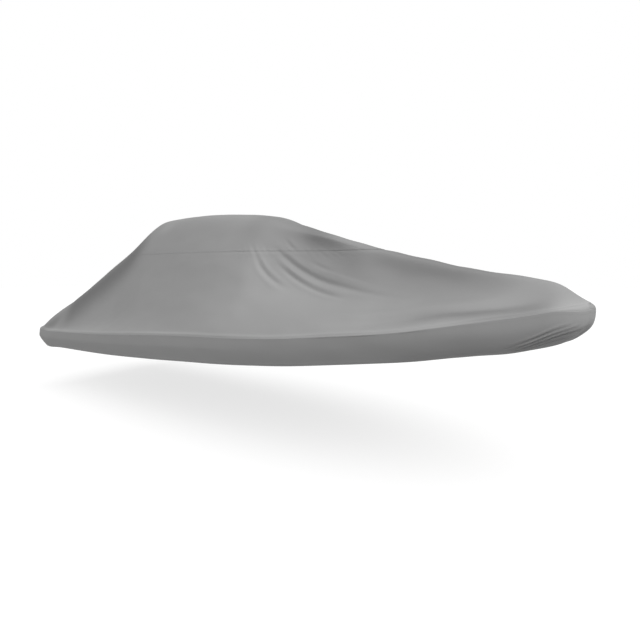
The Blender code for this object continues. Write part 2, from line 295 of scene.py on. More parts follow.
PAINTED_BANDS = (
    PaintedBand(((0.08, 0.99), (0.30, 0.92), (0.70, 0.76)), depth=0.26, width=0.11, ends=(0.10, 0.50)),
    PaintedBand(
        ((0.50, 0.84), (0.80, 0.72), (1.14, 0.60), (1.72, 0.46), (2.10, 0.37), (2.55, 0.28)),
        depth=0.43, width=0.28, ends=(0.20, 0.22),
    ),
    PaintedBand(
        ((4.25, 0.18), (4.65, 0.16), (4.90, 0.14), (5.20, 0.09), (5.60, 0.06)),
        depth=0.20, width=0.32, ends=(0.35, 0.30),
    ),
    PaintedBand(((5.05, 0.14), (5.42, 0.12), (5.80, 0.12)), depth=0.18, width=0.16, ends=(0.45, 0.45)),
    PaintedBand(
        (
            (4.70, 0.34), (5.20, 0.28), (5.60, 0.26), (6.10, 0.27), (6.70, 0.29), (7.30, 0.29),
            (7.90, 0.32),
        ),
        depth=0.23, width=0.31, ends=(0.20, 0.35),
    ),
    PaintedBand(
        ((5.90, 0.04), (6.60, 0.05), (7.30, 0.08), (7.80, 0.14)),
        depth=0.11, width=0.16, ends=(0.30, 0.30),
    ),
    PaintedBand(
        ((6.30, 0.78), (7.08, 0.80), (7.45, 0.86), (7.75, 0.89), (8.12, 0.80)),
        depth=0.27, width=0.110, ends=(0.55, 0.18),
    ),
    PaintedBand(((7.90, 0.98), (8.08, 0.94), (8.24, 0.80)), depth=-0.10, width=0.08, ends=(0.50, 0.05)),
    PaintedBand(((2.55, 0.24), (2.76, 0.24), (2.98, 0.22)), depth=-0.12, width=0.10, ends=(0.45, 0.45)),
)


def smooth_step(low: float, high: float, x: Array) -> Array:
    """0 below low, 1 above high and the even S 3t^2 - 2t^3 between them."""
    t = np.clip((x - low) / (high - low), 0, 1)
    return t * t * (3 - 2 * t)


def blend(first: float, last: float, share: Array) -> Array:
    """From first where the share is 0 to last where it is 1, in a straight line."""
    return first + (last - first) * share


def bell(distance: Array, width: float | Array) -> Array:
    """The bell exp(-(distance / width)^2)."""
    return np.exp(-((distance / width) ** 2))


def fold_section(across: Array, width: float, lips: float, lean: float = 0.0) -> Array:
    """A fold's section: a bell less two lips, which are lower bells two widths out.

    The bell's own width is multiplied by 1 + lean tanh(across / width).
    """
    beside = bell(across - 2 * width, width) + bell(across + 2 * width, width)
    return bell(across, width * (1 + lean * np.tanh(across / width))) - lips * beside


def run_along(points: Array) -> Array:
    """The length up to each point, along a line of points or along each column of a grid."""
    step = np.linalg.norm(np.diff(points, axis=0), axis=-1)
    return np.concatenate([np.zeros((1, *step.shape[1:])), np.cumsum(step, axis=0)])


def monotone_cubic(knots: Array, values: Array, x: Array) -> Array:
    """A cubic through the knots that never overshoots them.

    Each inner tangent is the weighted harmonic mean of the slopes beside its knot, or 0 where
    they differ in sign.

    Args:
        knots: rising places.
        values: the value at each of them.
        x: the places at which the curve is wanted.

    Returns:
        The curve's value at each place.
    """
    step = np.diff(knots)
    slope = np.diff(values) / step
    tangent = np.concatenate([slope[:1], np.zeros(len(knots) - 2), slope[-1:]])
    before, after = 2 * step[1:] + step[:-1], step[1:] + 2 * step[:-1]
    same = slope[:-1] * slope[1:] > 0
    harmonic = before / np.where(same, slope[:-1], 1) + after / np.where(same, slope[1:], 1)
    tangent[1:-1] = np.where(same, (before + after) / np.where(same, harmonic, 1), 0)
    i = np.clip(np.searchsorted(knots, x) - 1, 0, len(step) - 1)
    t = (x - knots[i]) / step[i]
    ends = values[i] * (1 + 2 * t) * (1 - t) ** 2 + values[i + 1] * t * t * (3 - 2 * t)
    return ends + step[i] * (tangent[i] * t * (1 - t) ** 2 + tangent[i + 1] * t * t * (t - 1))


def soften(values: Array, reach: float) -> Array:
    """A bell-weighted average over the neighbours, which keeps both end values.

    The bell is cut off at four deviations. Past each end the values go on turned about it, twice
    the end value less the mirrored one.

    Args:
        values: evenly spaced values.
        reach: the bell's standard deviation, in steps.

    Returns:
        The averaged values.
    """
    half = int(math.ceil(4 * reach))
    kernel = np.exp(-0.5 * (np.arange(-half, half + 1) / reach) ** 2)
    before = 2 * values[0] - values[half:0:-1]
    after = 2 * values[-1] - values[-2 : -half - 2 : -1]
    longer = np.concatenate([before, values, after])
    return np.convolve(longer, kernel / kernel.sum(), mode="valid")


def ripples(u: Array, v: Array, size: float, seed: int, waves: int = 7) -> Array:
    """An uneven field of about -1 to 1: a sum of sine waves with seeded headings and phases.

    Args:
        u: first coordinate.
        v: second coordinate.
        size: the mean wavelength.
        seed: picks the waves.
        waves: how many there are.

    Returns:
        The field at each place.
    """
    random = np.random.default_rng(seed)
    heading = random.uniform(0, math.pi, waves)
    phase = random.uniform(0, 2 * math.pi, waves)
    pitch = 2 * math.pi / (size * random.uniform(*RIPPLE_SPREAD, waves))
    total = np.zeros(np.broadcast(u, v).shape)
    for angle, start, rate in zip(heading, phase, pitch):
        total = total + np.sin(rate * (u * math.cos(angle) + v * math.sin(angle)) + start)
    return total * math.sqrt(2 / waves) / RIPPLE_PEAK


def interp_rows(wanted: Array, places: Array, values: Array) -> Array:
    """Linear interpolation within each row, all rows at once.

    Each row is shifted past the one before it, so that one long rising table serves them all.

    Args:
        wanted: places to read, one row for each row of the table.
        places: rising places of each row.
        values: the values there, of the same shape or one row for all.

    Returns:
        The values at the wanted places.
    """
    span = float(max(places.max(), wanted.max()) - min(places.min(), wanted.min())) + 1.0
    shift = span * np.arange(len(places))[:, None]
    table = np.broadcast_to(values, places.shape)
    flat = np.interp((wanted + shift).ravel(), (places + shift).ravel(), table.ravel())
    return flat.reshape(wanted.shape)


def unit(vectors: Array) -> Array:
    """The vectors at length 1; one of no length points up."""
    length = np.linalg.norm(vectors, axis=-1, keepdims=True)
    return np.where(length > TINY * TINY, vectors / np.maximum(length, TINY * TINY), (0.0, 0.0, 1.0))


@dataclass
class Course:
    """A size that changes along the cover, softened so that no cross-section shows as a crease."""

    knots: Array
    values: Array
    softness: float = 0.06
    step: float = 0.005

    def __post_init__(self) -> None:
        """Samples the monotone cubic finely and softens it."""
        count = int(round((self.knots[-1] - self.knots[0]) / self.step)) + 1
        self.places = np.linspace(self.knots[0], self.knots[-1], count)
        exact = monotone_cubic(self.knots, self.values, self.places)
        self.soft = soften(exact, self.softness / self.step)

    def __call__(self, x: Array) -> Array:
        """The softened size at x."""
        return np.interp(x, self.places, self.soft)


def courses(rows: tuple, softness: float) -> dict[str, Course]:
    """One Course for each column of a table of rows that have x first."""
    names = [f.name for f in fields(rows[0])]
    x = np.array([row.x for row in rows])
    table = {name: np.array([getattr(row, name) for row in rows]) for name in names[1:]}
    return {name: Course(x, values, softness) for name, values in table.items()}


@dataclass
class CoverForm:
    """The smooth form of the cover, before any fold: the top's height and the plan's outline."""

    length: float = 8.256
    seam_height: float = 2.34
    mount_from_stern: float = 3.4
    corner_radius: float = 0.10
    nose_length: float = 0.32
    top_drop: float = 0.035
    top_width: float = 0.42
    top_share_most: float = 0.97
    full_rise: float = 0.60
    bell_power: float = 4.0
    edge_power: int = 8
    port_sag: float = 0.85
    softness: float = 0.06
    sizes: dict[str, Course] = field(init=False)

    def __post_init__(self) -> None:
        """Makes the courses of the cross-sections."""
        self.sizes = courses(STATIONS, self.softness)

    def half_beam(self, x: Array) -> Array:
        """Half-breadth at the crease: the beam, less a round at the stern, closed by a round nose.

        Args:
            x: distances from the stern.

        Returns:
            Half-breadths.
        """
        into_corner = np.clip(self.corner_radius - x, 0, self.corner_radius)
        corner = np.sqrt(self.corner_radius**2 - into_corner**2) - self.corner_radius
        into_nose = np.clip((x - self.length + self.nose_length) / self.nose_length, 0, 1)
        return (self.sizes["beam"](x) + corner) * np.sqrt(1 - into_nose**2)

    def height(self, x: Array, y: Array) -> Array:
        """Height of the top: the soft lower one of a cambered top and a sagging side.

        The soft minimum of a and b is half of a + b less the root of (a - b)^2 + softness^2. The
        side runs straight from the top's shoulder to the crease, less a bell that peaks at the
        knee, and a high power of the breadth brings the outermost points to the crease.

        Args:
            x: distances from the stern.
            y: distances to port.

        Returns:
            Heights above the floor.
        """
        size = {name: course(x) for name, course in self.sizes.items()}
        beam, sheer, ridge, knee = self.half_beam(x), size["sheer"], size["ridge"], size["knee"]
        flat = np.minimum(size["top"], self.top_share_most * beam)
        out = np.abs(y)
        camber = self.top_drop / np.maximum(flat, self.top_width) ** 2
        top = ridge - camber * out**2
        u = (out - flat) / np.maximum(beam - flat, TINY)
        on_side = np.clip(u, 0, 1)
        dip = (on_side / knee) ** (self.bell_power * knee)
        dip = dip * ((1 - on_side) / (1 - knee)) ** (self.bell_power * (1 - knee))
        shoulder = ridge - camber * flat**2
        sag = size["sag"] * np.where(y > 0, self.port_sag, 1.0)
        side = shoulder + (sheer - shoulder) * u - sag * dip
        rise = np.clip((ridge - sheer) / self.full_rise, 0, 1)
        softness = 2 * size["roundness"] * rise**2
        height = 0.5 * (top + side - np.hypot(top - side, softness))
        top_at_edge = ridge - camber * beam**2
        edge_error = sheer - 0.5 * (top_at_edge + sheer - np.hypot(top_at_edge - sheer, softness))
        edge = np.clip(out / np.maximum(beam, TINY), 0, 1) ** self.edge_power
        return height + edge_error * edge

    def mount(self) -> Array:
        """The mount under the crown, which is the finished model's origin."""
        x = np.array([self.mount_from_stern])
        exact = monotone_cubic(*self.knots("ridge"), x)[0]
        return np.array([self.mount_from_stern, 0.0, exact - CAD_CLOTH])

    def knots(self, name: str) -> tuple[Array, Array]:
        """The unsoftened knots and values of one size."""
        return self.sizes[name].knots, self.sizes[name].values


@dataclass
class TopGrid:
    """Points over the whole top, stern to bow by starboard crease to port crease.

    Rows are cross-sections. In each, the outermost columns lie at fixed distances from the crease
    and the others are spaced evenly along the cloth.
    """

    form: CoverForm
    stretches: tuple[tuple[float, float], ...] = (
        (0.12, 0.015), (4.40, 0.043), (6.30, 0.020), (7.95, 0.029), (8.20, 0.014), (8.256, 0.006),
    )
    edge_places: tuple[float, ...] = (0.0, 0.008, 0.016, 0.025, 0.036, 0.050, 0.068, 0.092)
    edge_full_girth: float = 0.7
    edge_least: float = 0.02
    even_columns: int = 90
    fine: int = 1600

    def __post_init__(self) -> None:
        """Places the points and measures the cloth between them."""
        x = self._rows()[:, None]
        y_fine = self.form.half_beam(x) * np.linspace(-1, 1, self.fine + 1)[None, :]
        z_fine = self.form.height(x, y_fine)
        step = np.hypot(np.diff(y_fine, axis=1), np.diff(z_fine, axis=1)) + TINY
        run = np.concatenate([np.zeros_like(x), np.cumsum(step, axis=1)], axis=1)
        middle = run[:, self.fine // 2, None]
        whole = run[:, -1:]
        to_port = whole - self._half(whole - middle)[:, -2::-1]
        wanted = np.concatenate([self._half(middle), to_port], axis=1)
        self.y = interp_rows(wanted, run, y_fine)
        self.x = np.broadcast_to(x, self.y.shape).copy()
        self.z = self.form.height(self.x, self.y)
        self.girth = wanted - middle
        self.half_girth = np.where(self.girth < 0, middle, whole - middle)
        self.edge = np.minimum(wanted, whole - wanted)
        self.points = np.stack([self.x, self.y, self.z], axis=-1)
        self.normal = self.normals(self.points)

    def _rows(self) -> Array:
        """Distances of the cross-sections from the stern."""
        places, start = [np.zeros(1)], 0.0
        for end, step in self.stretches:
            count = max(1, round((end - start) / step))
            places.append(np.linspace(start, end, count + 1)[1:])
            start = end
        return np.concatenate(places)

    def _half(self, whole: Array) -> Array:
        """Distances from the starboard crease of one side's columns, for each row's half girth."""
        room = np.clip(whole / self.edge_full_girth, self.edge_least, 1)
        outer = np.array(self.edge_places)[None, :] * room
        share = np.linspace(0, 1, self.even_columns + 1)[None, 1:]
        return np.concatenate([outer, outer[:, -1:] + (whole - outer[:, -1:]) * share], axis=1)

    @staticmethod
    def normals(points: Array) -> Array:
        """Unit normals of a grid of points: the cross product of its two central differences."""
        forward = np.gradient(points, axis=0)
        across = np.gradient(points, axis=1)
        normal = unit(np.cross(forward, across))
        return normal * np.where(normal[..., 2:3] < 0, -1.0, 1.0)

    def flat_places(self) -> Array:
        """Each point's place on the flat cloth: run along its own line, and signed girth."""
        return np.stack([run_along(self.points), self.girth], axis=-1)

    def fold_relief(self, fold: Fold) -> Array:
        """Inward depth of one fold over the grid.

        Across the fold, distance is measured down the cloth, times the cosine of the fold's own
        slant. Along the fold the depth rises and falls in two S-shaped steps.

        Args:
            fold: the fold.

        Returns:
            The depth at each point, inward being positive.
        """
        x, down = np.array(fold.path).T
        row_x = self.x[:, 0]
        inside = np.clip(row_x, x[0], x[-1])
        half = self.half_girth[:, 0] if fold.side is Side.STARBOARD else self.half_girth[:, -1]
        centre = monotone_cubic(x, down, inside) * half
        slant = 1 / np.hypot(1, np.gradient(centre, row_x))
        across = (fold.side.value * self.girth - centre[:, None]) * slant[:, None]
        share = (row_x - x[0]) / (x[-1] - x[0])
        fade = smooth_step(0, fold.ends[0], share) * (1 - smooth_step(1 - fold.ends[1], 1, share))
        section = fold_section(across, fold.width, fold.lips, fold.lean)
        return fold.depth * fade[:, None] * section


@dataclass
class Surface:
    """An open surface of quads, with the place of each face corner on the flat cloth."""

    points: Array
    quads: Array
    flat: Array
    wear: Array

    @classmethod
    def from_grid(cls, points: Array, flat: Array, wear: Array, closed: bool = False) -> "Surface":
        """A surface from a grid of points.

        Args:
            points: rows by columns by 3.
            flat: rows by columns by 2; a closed grid has one row more, for the far side of its
                closing faces.
            wear: rows by columns, the colour's share at each point, which carries painted shade and
                painted highlights.
            closed: whether the last row joins the first.

        Returns:
            The surface.
        """
        rows, columns = points.shape[:2]
        number = np.arange(rows * columns).reshape(rows, columns)
        place = np.arange((rows + closed) * columns).reshape(rows + closed, columns)
        if closed:
            number = np.concatenate([number, number[:1]])
        corners = [cls._corners(index) for index in (number, place)]
        return cls(points.reshape(-1, 3), corners[0], flat.reshape(-1, 2)[corners[1]], wear.ravel())

    def __add__(self, other: "Surface") -> "Surface":
        """Both surfaces as one."""
        return Surface(
            np.concatenate([self.points, other.points]),
            np.concatenate([self.quads, other.quads + len(self.points)]),
            np.concatenate([self.flat, other.flat]),
            np.concatenate([self.wear, other.wear]),
        )

    def turned(self) -> "Surface":
        """The same surface with its faces pointing the other way."""
        return Surface(self.points, self.quads[:, ::-1], self.flat[:, ::-1], self.wear)

    @staticmethod
    def _corners(index: Array) -> Array:
        """The four corners of each cell of an index grid."""
        cells = [index[:-1, :-1], index[1:, :-1], index[1:, 1:], index[:-1, 1:]]
        return np.stack(cells, axis=-1).reshape(-1, 4)

    def mesh(self, name: str, origin: Array) -> Mesh:
        """A Blender mesh of the surface, moved so that origin is at zero."""
        mesh = bpy.data.meshes.new(name)
        mesh.vertices.add(len(self.points))
        mesh.vertices.foreach_set("co", (self.points - origin).astype(np.float32).ravel())
        mesh.loops.add(self.quads.size)
        mesh.loops.foreach_set("vertex_index", self.quads.astype(np.int32).ravel())
        mesh.polygons.add(len(self.quads))
        mesh.polygons.foreach_set("loop_start", np.arange(0, self.quads.size, 4, dtype=np.int32))
        mesh.update(calc_edges=True)
        layer = mesh.uv_layers.new(name=FLAT_MAP)
        layer.uv.foreach_set("vector", self.flat.astype(np.float32).ravel())
        # Each point's share of colour, with its painted shade and painted highlights, as an attribute.
        wear = mesh.attributes.new(PAINTED_SHADING_MAP, "FLOAT", "POINT")
        wear.data.foreach_set("value", self.wear.astype(np.float32))
        mesh.shade_smooth()
        return mesh


def add_piece(name: str, mesh: Mesh, material: Material) -> Object:
    """Links a finished mesh as a piece that rides on the cover.

    Args:
        name: the piece's name.
        mesh: its mesh, in the model's frame.
        material: its finish.

    Returns:
        The new object.
    """
    mesh.materials.append(material)
    piece = bpy.data.objects.new(name, mesh)
    bpy.context.scene.collection.objects.link(piece)
    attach(piece, BODY)
    LOG.info("%s: %d faces", name, len(mesh.polygons))
    return piece


def give_thickness(piece: Object) -> None:
    """Gives an open surface the cloth's thickness, inward."""
    wall = piece.modifiers.new("cloth thickness", "SOLIDIFY")
    wall.thickness = CLOTH
    wall.offset = -1
    wall.use_even_offset = False


@dataclass
class Seam:
    """The level seam between the crown and the deck panel, as a closed line round the top."""

    form: CoverForm
    centre_x: float = 3.9
    reach: float = 3.2
    count: int = 3000
    halvings: int = 40

    def __post_init__(self) -> None:
        """Finds the line by halving, on each ray from the centre, the span that holds it."""
        self.angle = np.linspace(-math.pi, math.pi, self.count + 1)
        low, high = np.zeros_like(self.angle), np.full_like(self.angle, self.reach)
        for _ in range(self.halvings):
            middle = (low + high) / 2
            x, y = self._at(middle)
            above = self.form.height(x, y) > self.form.seam_height
            low, high = np.where(above, middle, low), np.where(above, high, middle)
        x, y = self._at((low + high) / 2)
        self.line = np.stack([x, y, np.full_like(x, self.form.seam_height)], axis=-1)
        self.run = run_along(self.line)

    def _at(self, radius: Array) -> tuple[Array, Array]:
        """Plan places at a distance from the centre along each ray, kept on the cover."""
        x = np.clip(self.centre_x + radius * np.cos(self.angle), 0, self.form.length)
        return x, radius * np.sin(self.angle)

    def along(self, x: Array, y: Array) -> Array:
        """Distance along the seam to the point of it that lies on the same ray."""
        return np.interp(np.arctan2(y, x - self.centre_x), self.angle, self.run)


@dataclass
class EdgeRoll:
    """The turn of the cloth from the top down into the skirt: tight, and wide round the bow."""

    form: CoverForm
    radius: float = 0.010
    bow_radius: float = 0.064
    bow: tuple[float, float] = (7.96, 8.25)
    steps: int = 6
    lip: float = 0.010
    probe: float = 0.03
    steepest: float = 1.2

    def _sizes(self, crease: Array) -> tuple[Array, Array]:
        """The roll's radius and the top's slope, as an angle, at each point of the crease."""
        inside = crease - outward(crease) * self.probe
        rise = self.form.height(inside[:, 0], inside[:, 1]) - self.form.height(*crease[:, :2].T)
        share = smooth_step(*self.bow, crease[:, 0])
        radius = blend(self.radius, self.bow_radius, share)
        return radius, np.clip(np.arctan2(rise, self.probe), 0.0, self.steepest)

    def rings(self, crease: Array) -> Array:
        """An arc that leaves the top along its slope and ends upright, then a short lip.

        Level reach is radius (sin angle - sin slope) and drop is radius (cos slope - cos angle).

        Args:
            crease: the crease as a closed line, anticlockwise from above.

        Returns:
            Rings by points by 3, the crease first.
        """
        radius, slope = self._sizes(crease)
        share = np.linspace(0, 1, self.steps + 1)[:, None]
        angle = slope + (0.5 * math.pi - slope) * share
        reach = radius * (np.sin(angle) - np.sin(slope))
        drop = radius * (np.cos(slope) - np.cos(angle))
        reach, drop = np.concatenate([reach, reach[-1:]]), np.concatenate([drop, drop[-1:] + self.lip])
        rings = crease[None] + reach[..., None] * outward(crease)[None]
        rings[..., 2] -= drop
        return rings


@dataclass
class TopRelief:
    """All that makes the top uneven: folds, the seam's puckers, the gunwale's rim and soft waves."""

    grid: TopGrid
    seam: Seam
    rim_height: float = 0.007
    rim_from_crease: float = 0.024
    rim_width: float = 0.016
    rim_full_girth: float = 0.3
    least_slope: float = 0.25
    pucker_depth: float = 0.0022
    pucker_size: float = 0.085
    pucker_reach: float = 0.09
    pucker_patch: float = 0.8
    pucker_stretch: float = 0.35
    wave_depth: float = 0.005
    wave_size: float = 0.9
    crumple_depth: float = 0.0016
    crumple_size: float = 0.28
    edge_fade: float = 0.06
    # How much the painted highlight along the rim lifts the colour.
    rim_wear: float = 0.08

    def distance_from_seam(self) -> Array:
        """Distance up the cloth from the seam: the height over it by the sine of the slope."""
        grid = self.grid
        steep = np.hypot(grid.normal[..., 0], grid.normal[..., 1])
        return (grid.z - grid.form.seam_height) / np.maximum(steep, self.least_slope)

    def rim(self) -> Array:
        """The rolled rim just inside the gunwale crease: a bell along it, fading at both ends."""
        grid = self.grid
        fade = smooth_step(0.0, self.rim_full_girth, grid.half_girth)
        return self.rim_height * fade * bell(grid.edge - self.rim_from_crease, self.rim_width)

    def puckers(self) -> Array:
        """Small waves that run into the seam and fade away from it."""
        grid = self.grid
        place = self.seam.along(grid.x, grid.y)
        away = self.distance_from_seam()
        uneven = 0.5 + 0.5 * ripples(place, 0 * place, self.pucker_patch, seed=11)
        wave = ripples(place, self.pucker_stretch * away, self.pucker_size, seed=12, waves=5)
        depth = self.pucker_depth * np.clip(uneven, 0, 1) * seam_strain(grid.x)
        return depth * wave * bell(away, self.pucker_reach)

    def waves(self) -> Array:
        """Broad soft waves, and smaller ones a third as deep."""
        grid = self.grid
        broad = self.wave_depth * ripples(grid.x, grid.girth, self.wave_size, seed=3)
        small = self.crumple_depth * ripples(grid.x, grid.girth, self.crumple_size, seed=4)
        return broad + small

    def outward(self) -> Array:
        """How far each point of the grid stands out along its normal."""
        grid = self.grid
        folds = sum((grid.fold_relief(fold) for fold in FOLDS), np.zeros(grid.x.shape))
        inner = smooth_step(0, self.edge_fade, grid.edge)
        return self.rim() + inner * (self.puckers() + self.waves() - folds)

    def points(self) -> Array:
        """The grid's points, moved out along their normals by all of the relief."""
        return self.grid.points + self.grid.normal * self.outward()[..., None]

    def wear(self) -> Array:
        """The share of the cloth's colour at each point: bands of painted shade darken it, and painted
        highlights on the rim and in two bands lighten it.
        """
        grid = self.grid
        # A painted highlight along the rim lightens the colour there.
        left = 1 + self.rim_wear * bell(grid.edge - self.rim_from_crease, 2 * self.rim_width)
        for painted_band in PAINTED_BANDS:
            for side in Side:
                left = left * (1 - grid.fold_relief(painted_band.on(side)))
        return left


@dataclass
class CrownPanel:
    """The panel over the raised top, whose folded lower edge laps over the deck panel."""

    grid: TopGrid
    seam: Seam
    points: Array
    wear: Array
    lap: float = 0.010
    proud: float = 0.0018
    least_proud: float = 0.0003
    doubled: float = 0.022
    loops: tuple[float, ...] = (-0.0092, -0.004, 0.008, 0.014, 0.020, 0.032)
    stitch_rows: tuple[float, ...] = (-0.003, 0.005)
    flat_size: tuple[float, float] = (4.6, 1.9)
    flat_area: float = 6.9

    def build(self, material: Material, thread: Material) -> Object:
        """Makes the panel and the two rows of stitches along its edge.

        Args:
            material: its finish.
            thread: the stitches' finish.

        Returns:
            The piece.
        """
        grid, origin = self.grid, self.grid.form.mount()
        surface = Surface.from_grid(self.points, grid.flat_places(), self.wear)
        mesh = surface.mesh("crown_cloth_mesh", origin)
        level = grid.form.seam_height - origin[2]
        cut_level(mesh, level - self.lap, keep_above=True)
        add_level_loops(mesh, [level + place for place in self.loops])
        lift_points(mesh, lambda place: self._over_seam(place[:, 0] + origin[0], place[:, 2] - level))
        piece = add_piece("crown_cloth", mesh, material)
        give_thickness(piece)
        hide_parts("crown_panel")
        centre_x = self.seam.centre_x - origin[0]
        lines = [level_line(mesh, level + place, centre_x) for place in self.stitch_rows]
        rows = [StitchRow().surface(*line) for line in lines]
        sewn = sum(rows[1:], rows[0]).mesh("crown_stitches_mesh", np.zeros(3))
        stitches = add_piece("crown_stitches", sewn, thread)
        return piece

    def _over_seam(self, x: Array, height: Array) -> Array:
        """How far the doubled edge stands out, falling off in an S above it."""
        proud = blend(self.least_proud, self.proud, seam_strain(x))
        return proud * (1 - smooth_step(0, self.doubled, height))


def seam_strain(x: Array) -> Array:
    """How much the seam shows: hardly aft, where the cloth lies smooth, and fully forward."""
    return blend(STRAIN_AFT, 1, smooth_step(*STRAIN_RISES, x))


@contextmanager
def edited(mesh: Mesh) -> Iterator[BMesh]:
    """Opens a mesh for editing and writes it back at the end."""
    shape = bmesh.new()
    shape.from_mesh(mesh)
    yield shape
    shape.to_mesh(mesh)
    shape.free()
    mesh.update()


def split_level(shape: BMesh, level: float, **clear: bool) -> None:
    """Splits a shape along a level plane; clear_inner or clear_outer drops what is below or above."""
    geometry = shape.verts[:] + shape.edges[:] + shape.faces[:]
    bmesh.ops.bisect_plane(
        shape, geom=geometry, dist=TINY, plane_co=(0, 0, level), plane_no=(0, 0, 1), **clear
    )


def weld(shape: BMesh, reach: float) -> None:
    """Joins vertices that lie within reach of one another."""
    bmesh.ops.remove_doubles(shape, verts=shape.verts[:], dist=reach)


def cut_level(mesh: Mesh, level: float, keep_above: bool) -> None:
    """Cuts a mesh along a level plane and keeps one side.

    Args:
        mesh: the mesh, changed in place.
        level: the plane's height.
        keep_above: whether the upper side stays.
    """
    with edited(mesh) as shape:
        split_level(shape, level, clear_inner=keep_above, clear_outer=not keep_above)
        weld(shape, CUT_MERGE)


def add_level_loops(mesh: Mesh, levels: list[float]) -> None:
    """Adds an edge loop at each height, so that the seam's edge can be shaped there."""
    with edited(mesh) as shape:
        for level in levels:
            split_level(shape, level)


def read_points(mesh: Mesh) -> tuple[Array, Array]:
    """The places and normals of a mesh's vertices."""
    count = len(mesh.vertices)
    points, normals = np.empty(count * 3, np.float32), np.empty(count * 3, np.float32)
    mesh.vertices.foreach_get("co", points)
    mesh.vertex_normals.foreach_get("vector", normals)
    return points.reshape(-1, 3), normals.reshape(-1, 3)


def lift_points(mesh: Mesh, lift: Callable[[Array], Array]) -> None:
    """Moves each vertex out along its normal by a function of its place.

    Args:
        mesh: the mesh, changed in place.
        lift: gives the distance for an array of places.
    """
    points, normals = read_points(mesh)
    moved = points + normals * lift(points)[:, None]
    mesh.vertices.foreach_set("co", moved.astype(np.float32).ravel())
    mesh.update()


def level_line(mesh: Mesh, level: float, centre_x: float) -> tuple[Array, Array]:
    """The closed line where a mesh meets a level plane, by angle round a centre.

    Args:
        mesh: the mesh, left as it is.
        level: the plane's height.
        centre_x: a place on the centreline inside the line.

    Returns:
        The line's points and the normals there.
    """
    above = mesh.copy()
    cut_level(above, level, keep_above=True)
    points, normals = read_points(above)
    bpy.data.meshes.remove(above)
    on_line = np.abs(points[:, 2] - level) < 10 * TINY
    points, normals = points[on_line], normals[on_line]
    order = np.argsort(np.arctan2(points[:, 1], points[:, 0] - centre_x))
    return points[order], normals[order]


BOX_FACES = np.array([
    (0, 1, 3, 2), (4, 6, 7, 5), (0, 4, 5, 1), (2, 3, 7, 6), (0, 2, 6, 4), (1, 5, 7, 3),
])


@dataclass(frozen=True)
class StitchRow:
    """A row of lock stitches along a closed line: flat grains of thread, evenly spaced."""

    pitch: float = 0.008
    length: float = 0.0050
    width: float = 0.0013
    height: float = 0.0010

    def surface(self, line: Array, normal: Array) -> Surface:
        """A box for each stitch, along the line and flat on the cloth.

        Args:
            line: points by 3, the last one next to the first.
            normal: the cloth's normals there.

        Returns:
            All the boxes as one surface.
        """
        closed, turned = (np.concatenate([part, part[:1]]) for part in (line, normal))
        run = run_along(closed)
        count = int(run[-1] / self.pitch)
        place = (np.arange(count) + 0.5) * run[-1] / count

        def read(table: Array, shift: float = 0.0) -> Array:
            """The table's values beside each stitch."""
            return np.stack([np.interp(place + shift, run, table[:, k]) for k in range(3)], axis=1)

        up = unit(read(turned))
        along = unit(read(closed, self.length / 2) - read(closed, -self.length / 2))
        across = unit(np.cross(up, along))
        axes = np.stack([np.cross(across, up), across, up], axis=1)
        corner = np.indices((2, 2, 2)).reshape(3, -1).T - 0.5
        points = read(closed)[:, None] + (corner * (self.length, self.width, self.height)) @ axes
        quads = (np.arange(count)[:, None, None] * len(corner) + BOX_FACES).reshape(-1, 4)
        return Surface(
            points.reshape(-1, 3), quads, np.zeros((*quads.shape, 2)), np.ones(count * len(corner))
        )


@dataclass
class DeckPanel:
    """The panel between the crown's seam and the gunwale, with its edge rolled down."""

    grid: TopGrid
    points: Array
    wear: Array
    tucked: float = 0.012
    loops: tuple[float, ...] = (-0.006, -0.014, -0.028, -0.045)
    furrow: float = 0.0008
    furrow_below: float = 0.008
    furrow_width: float = 0.010
    bulge: float = 0.0025
    bulge_below: float = 0.045
    bulge_width: float = 0.025
    roll_step: float = 0.004
    flat_size: tuple[float, float] = (8.4, 4.6)
    flat_area: float = 21.5

    def build(self, material: Material) -> Object:
        """Makes the panel.

        Args:
            material: its finish.

        Returns:
            The piece.
        """
        grid, origin = self.grid, self.grid.form.mount()
        flat = grid.flat_places()
        top = Surface.from_grid(self.points, flat, self.wear)
        place = tuple(crease_indices(*self.points.shape[:2]).T)
        rings = EdgeRoll(grid.form).rings(self.points[place])
        ring_flat = flat[place][:, None] + np.arange(len(rings))[None, :, None] * [0.0, self.roll_step]
        ring_flat = np.concatenate([ring_flat, ring_flat[:1]])
        # The rolled edge takes the painted shade and highlights of the crease above it.
        ring_painted_shading = np.repeat(self.wear[place][:, None], len(rings), axis=1)
        roll = Surface.from_grid(rings.transpose(1, 0, 2), ring_flat, ring_painted_shading, closed=True)
        mesh = (top + roll.turned()).mesh("deck_cloth_mesh", origin)
        level = grid.form.seam_height - origin[2]
        cut_level(mesh, level + self.tucked, keep_above=False)
        add_level_loops(mesh, [level + place for place in self.loops])
        lift_points(mesh, lambda place: self._under_seam(place[:, 0] + origin[0], place[:, 2] - level))
        with edited(mesh) as shape:
            weld(shape, WELD_MERGE)
        piece = add_piece("deck_cloth", mesh, material)
        give_thickness(piece)
        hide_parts("deck_panel")
        return piece

    def _under_seam(self, x: Array, height: Array) -> Array:
        """Drawn in at the seam, and standing out a little below it, as bells of the height."""
        drawn_in = self.furrow * bell(height + self.furrow_below, self.furrow_width)
        stands_out = self.bulge * bell(height + self.bulge_below, self.bulge_width)
        return seam_strain(x) * (stands_out - drawn_in)


